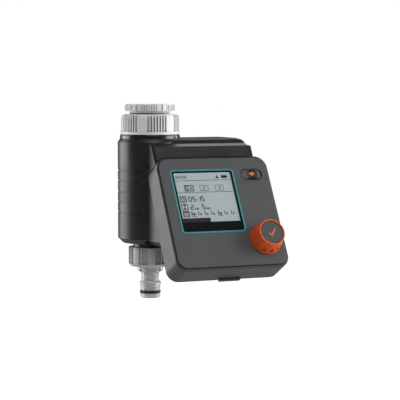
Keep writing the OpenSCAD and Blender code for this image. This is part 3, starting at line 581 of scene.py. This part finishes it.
def status_marks():
    """A plain channel label, a spray mark and a battery."""
    marks = []
    for i, width in enumerate((1.5, 1.1, 1.1, 1.5, 0.8)):
        left = -33.6 + i * 2.0
        marks += outline_box(left, 29.2, left + width, 31.4, 0.38)
    marks.append([(0.1, 28.9), (3.3, 28.9), (3.3, 29.6), (0.1, 29.6)])
    marks.append([(0.9, 29.6), (2.6, 29.6), (1.7, 32.2)])
    marks.append(rect(5.4, 28.9, 10.2, 31.4))
    marks.append(rect(10.2, 29.6, 10.8, 30.7))
    return marks


def programme_marks():
    """The ruled lines above and below the programmes, and the chosen programme's box."""
    left, right = LINE_ENDS
    marks = [rect(left, y, right, y + 0.4) for y in (27.2, 17.0)]
    marks += outline_box(-28.0, 18.2, -20.2, 23.6, 0.7)
    marks += digit("1", -24.6, 19.5, 2.2, 2.9, 0.9)
    marks += digit("0", -26.6, 19.5, 1.8, 2.9, 0.75)
    return marks


def start_time_marks():
    """The start time behind a clock."""
    clock = (ICON_X, 11.5)
    marks = icon_box(8.9, 14.2) + circle_line(*clock, 1.6, 0.55)
    marks += [stroke(clock, hand, 0.45) for hand in ((ICON_X, 12.7), (-30.1, 11.5))]
    for value, x in (("0", -26.4), ("5", -22.9), ("1", -18.9), ("5", -15.7)):
        marks += digit(value, x, 9.6, **BIG_DIGIT)
    return marks + [rect(-19.3, y, -18.8, y + 0.5) for y in (10.5, 12.2)]


def run_time_marks():
    """The run time behind an hourglass, each figure with three small bars for its unit."""
    waist = (ICON_X, 5.0)
    marks = icon_box(2.3, 7.7)
    marks += [[(-32.3, 6.8), (-29.7, 6.8), waist], [(-32.3, 3.2), (-29.7, 3.2), waist]]
    for value, x, unit in (("2", -26.0, -22.8), ("5", -16.4, -13.2)):
        marks += digit(value, x, 2.8, **BIG_DIGIT)
        for i in range(3):
            left = unit + i * 1.3
            marks.append(rect(left, 2.6, left + 0.9, 4.0))
    return marks


def day_marks():
    """A calendar leaf, and the chosen days as bars over a line."""
    marks = icon_box(-3.6, 1.5)
    marks.append(rect(-33.4, 0.2, -28.6, 1.1))
    for low in (-2.6, -1.2):
        marks += [rect(-32.9 + i * 1.5, low, -32.0 + i * 1.5, low + 0.9) for i in range(3)]
    for day in CHOSEN_DAYS:
        x = FIRST_DAY_X + day * DAY_STEP
        marks += [rect(x, -2.4, x + 1.0, 1.0), rect(x + 1.6, -2.4, x + 3.2, -0.4)]
        marks.append(rect(x, -3.5, x + 4.0, -3.1))
    return marks


def menu_marks():
    return [rect(LINE_ENDS[0], -8.2, -11.6, -4.6)]


def faint_marks():
    """The programmes and days that are not chosen."""
    marks = []
    for number, x in (("2", -14.9), ("3", -1.8)):
        marks += outline_box(x, 18.2, x + 7.2, 23.2, 0.4)
        marks += digit(number, x + 2.6, 19.3, 1.9, 2.8, 0.45)
    for day in OTHER_DAYS:
        x = FIRST_DAY_X + day * DAY_STEP
        marks += [rect(x, -2.4, x + 0.8, 1.0), rect(x + 1.5, -2.4, x + 2.9, -0.6)]
    return marks


# ---- Display: lens, printed border and liquid-crystal face ----

# Heights are along the panel's z, where the window's outer face is zero
LCD_PANEL_THICK = 2.7
LCD_PANEL_TOP = on_panel("lcd_panel").z + LCD_PANEL_THICK / 2
LCD_STEP = -1.45
LCD_FACE = -1.02
LCD_MIDDLE = (-10.6, 12.9)
LCD_HALF_W, LCD_HALF_H = 24.2, 21.1
LCD_CORNER = 0.5
LCD_GAP = 0.02
LCD_UNDER_BORDER = 0.8
LCD_INSIDE_BORDER = 0.05
INK = 0.03
WINDOW_CORNER = 1.8
LENS_LEVELS = (-0.6, 0.05)
BORDER_LEVELS = (-1.4, -0.65)


def on_display(name, bm, slot_name, material=None, smooth=None):
    """Shows a closed bmesh as a piece of the control unit."""
    bmesh.ops.recalc_face_normals(bm, faces=bm.faces)
    return show(name, mesh_of(name, bm), slot_name, "control_unit", material, smooth)


def lcd_outline(grow):
    """The edge of the liquid-crystal face, moved outward by grow."""
    return rounded_outline(*LCD_MIDDLE, LCD_HALF_W + grow, LCD_HALF_H + grow, LCD_CORNER)


def window_outline():
    low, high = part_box("display_window")
    centre = on_panel("display_window")
    half = (high.x - low.x) / 2 / MM
    return rounded_outline(centre.x, centre.y, half, half, WINDOW_CORNER)


def build_lens():
    """A clear lens in place of the plain window."""
    bm = bmesh.new()
    prism(bm, window_outline(), *LENS_LEVELS)
    lens = on_display("window_lens", bm, "window_black", material="lens", smooth=30)
    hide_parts("display_window")


def build_lcd_face():
    """The face under the border, and its raised middle."""
    bm = bmesh.new()
    prism(bm, lcd_outline(LCD_UNDER_BORDER), LCD_PANEL_TOP + LCD_GAP, LCD_STEP)
    prism(bm, lcd_outline(-LCD_INSIDE_BORDER), LCD_STEP, LCD_FACE)
    on_display("lcd_polariser", bm, "lcd_glass")


def build_border():
    bm = bmesh.new()
    framed(bm, window_outline(), lcd_outline(0), *BORDER_LEVELS)
    on_display("window_mask", bm, "window_black")


def build_marks(name, marks, slot_name, material):
    bm = bmesh.new()
    for mark in marks:
        prism(bm, mark, LCD_FACE, LCD_FACE + INK)
    on_display(name, bm, slot_name, material)


build_lens()
build_lcd_face()
build_border()
dark_groups = (status_marks, programme_marks, start_time_marks, run_time_marks, day_marks, menu_marks)
dark_marks = [mark for group in dark_groups for mark in group()]
build_marks("lcd_marks", dark_marks, "window_black", "lcd_ink")
build_marks("lcd_faint_marks", faint_marks(), "lcd_glass", "lcd_faint_ink")

# ---- Stage, lights and camera ----

FLOOR_DROP = 0.16
FLOOR_RADIUS = 6
FLOOR_GREY = (0.4, 0.4, 0.4)
WHITE = (1, 1, 1, 1)

# Each soft light's name, direction from the object's middle, distance, width, height and power in watts
LIGHTS = (
    ("left_back_box", (-0.75, 0.66, 0.15), 1.1, 0.9, 1.1, 10.5),
    ("top_back_box", (0.33, 0.66, 0.68), 1.2, 1.0, 0.45, 3),
    ("key_box", (0.88, -0.46, 0.2), 1.3, 0.9, 1.1, 13.5),
    ("top_front_box", (-0.12, -0.66, 0.74), 1.3, 0.9, 0.9, 6.3),
    ("low_front_box", (0.5, -0.7, -0.5), 1.5, 0.8, 0.8, 5.5),
    ("right_strip", (0.97, 0.2, 0.15), 1.2, 0.35, 1.1, 5),
)

# The camera looks from the object's left and a little above, with a long lens
CAMERA_AZIMUTH = math.radians(24.18)
CAMERA_ELEVATION = math.radians(4.13)
CAMERA_DISTANCE = 1.2325
CAMERA_LENS = 138.33
CAMERA_REACH = 30
AIM_SHIFT = Vector((0.0074, 0.0158, 0.0008))


def object_middle():
    low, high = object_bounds()
    return (low + high) / 2


def seen_or_lit(tree, seen, lit):
    """One strength where it is seen directly or through clear plastic, another where it only lights."""
    path = add(tree, "LightPath")
    direct = add(tree, "Math", operation="MAXIMUM")
    tree.links.new(path.outputs["Is Camera Ray"], direct.inputs[0])
    tree.links.new(path.outputs["Is Transmission Ray"], direct.inputs[1])
    return remap(tree, direct.outputs["Value"], 0, 1, lit, seen)


def floor_paper():
    material, tree, bsdf = shader("floor_paper")
    soft = noise(tree, 3, 2)
    tree.links.new(tinted(tree, soft, FLOOR_GREY, 0.97, 1.03), bsdf.inputs["Base Color"])
    bsdf.inputs["Roughness"].default_value = 0.9
    bsdf.inputs["Emission Color"].default_value = WHITE
    tree.links.new(seen_or_lit(tree, 1.0, 0.1), bsdf.inputs["Emission Strength"])
    return material


def build_floor():
    """A wide pale floor well below the object, which hangs from its tap."""
    bm = bmesh.new()
    bmesh.ops.create_circle(bm, cap_ends=True, segments=96, radius=FLOOR_RADIUS)
    mesh = mesh_of("floor", bm)
    mesh.materials.append(floor_paper())
    floor = bpy.data.objects.new("floor", mesh)
    floor.location = (0, 0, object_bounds()[0].z - FLOOR_DROP)
    bpy.context.scene.collection.objects.link(floor)
    floor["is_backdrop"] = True


def softbox(name, toward, distance, width, height, power):
    """A rectangular soft light that faces the object's middle."""
    light = bpy.data.lights.new(name, "AREA")
    light.shape = "RECTANGLE"
    light.size = width
    light.size_y = height
    light.energy = power
    obj = bpy.data.objects.new(name, light)
    aim = object_middle()
    obj.location = aim + Vector(toward).normalized() * distance
    obj.rotation_euler = (aim - obj.location).to_track_quat("-Z", "Y").to_euler()
    bpy.context.scene.collection.objects.link(obj)


def build_world():
    """White where it is seen, and only a faint fill as light."""
    world = bpy.data.worlds.new("studio")
    world.use_nodes = True
    bpy.context.scene.world = world
    tree = world.node_tree
    background = tree.nodes["Background"]
    tree.links.new(seen_or_lit(tree, 1.0, 0.07), background.inputs["Strength"])
    background.inputs["Color"].default_value = WHITE
    bpy.context.scene.view_settings.view_transform = "Standard"


def build_camera():
    back = Vector((
        -math.sin(CAMERA_AZIMUTH) * math.cos(CAMERA_ELEVATION),
        -math.cos(CAMERA_AZIMUTH) * math.cos(CAMERA_ELEVATION),
        math.sin(CAMERA_ELEVATION),
    ))
    camera = bpy.data.objects.new("camera", bpy.data.cameras.new("camera"))
    camera.location = object_middle() + AIM_SHIFT + back * CAMERA_DISTANCE
    camera.rotation_euler = back.to_track_quat("Z", "Y").to_euler()
    camera.data.lens = CAMERA_LENS
    camera.data.clip_end = CAMERA_REACH
    bpy.context.scene.collection.objects.link(camera)
    bpy.context.scene.camera = camera


build_floor()
for soft_light in LIGHTS:
    softbox(*soft_light)
build_world()
build_camera()
